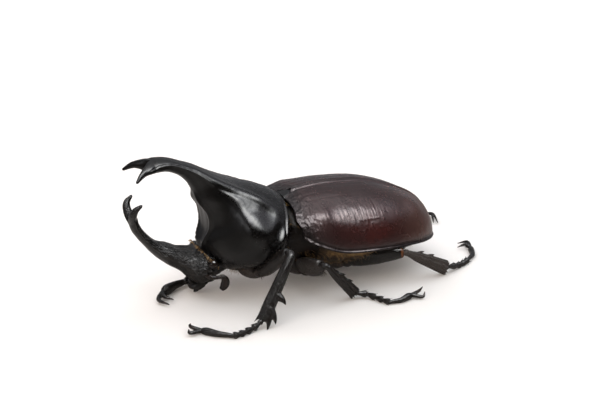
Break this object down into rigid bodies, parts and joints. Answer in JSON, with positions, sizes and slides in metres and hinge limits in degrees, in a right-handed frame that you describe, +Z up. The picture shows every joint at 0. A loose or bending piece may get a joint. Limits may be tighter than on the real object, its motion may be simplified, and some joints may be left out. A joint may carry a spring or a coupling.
{
  "type": "rhinoceros beetle",
  "caption": "Still, life-size male rhinoceros beetle: forked head and thorax horns, domed wing cases and spiny legs.",
  "frame": {"origin": "middle of the part's box, on the floor that the feet stand on", "axes": "+X from head to tail, -Y the animal's left side, +Z up"},
  "size_m": [0.0785, 0.0484, 0.0297],
  "materials": {
    "shell_black": "glossy black chitin, finely pitted",
    "shell_maroon": "dark red-brown wing case, glossy, finely pitted and wrinkled",
    "head_black": "rough grey-black chitin",
    "underside": "dark chitin with short brown hairs",
    "eye": "polished black with fine facets",
    "antenna_brown": "dark brown",
    "leg_black": "satin black chitin with ridges and short bristles"
  },
  "bodies": {
    "root": {"pronotum": "shell_black", "thoracic_horn": "shell_black", "head_horn": "shell_black", "scutellum": "shell_black", "elytron_left": "shell_maroon", "elytron_right": "shell_maroon", "head": "head_black", "mouthparts": "head_black", "prosternum": "underside", "pterothorax": "underside", "abdomen": "underside", "eye_left": "eye", "eye_right": "eye", "antenna_left": "antenna_brown", "antenna_right": "antenna_brown", "coxa_fore_left": "leg_black", "femur_fore_left": "leg_black", "tibia_fore_left": "leg_black", "tarsus_fore_left": "leg_black", "coxa_fore_right": "leg_black", "femur_fore_right": "leg_black", "tibia_fore_right": "leg_black", "tarsus_fore_right": "leg_black", "coxa_mid_left": "leg_black", "femur_mid_left": "leg_black", "tibia_mid_left": "leg_black", "tarsus_mid_left": "leg_black", "coxa_mid_right": "leg_black", "femur_mid_right": "leg_black", "tibia_mid_right": "leg_black", "tarsus_mid_right": "leg_black", "coxa_hind_left": "leg_black", "femur_hind_left": "leg_black", "tibia_hind_left": "leg_black", "tarsus_hind_left": "leg_black", "coxa_hind_right": "leg_black", "femur_hind_right": "leg_black", "tibia_hind_right": "leg_black", "tarsus_hind_right": "leg_black"}
  },
  "joints": []
}
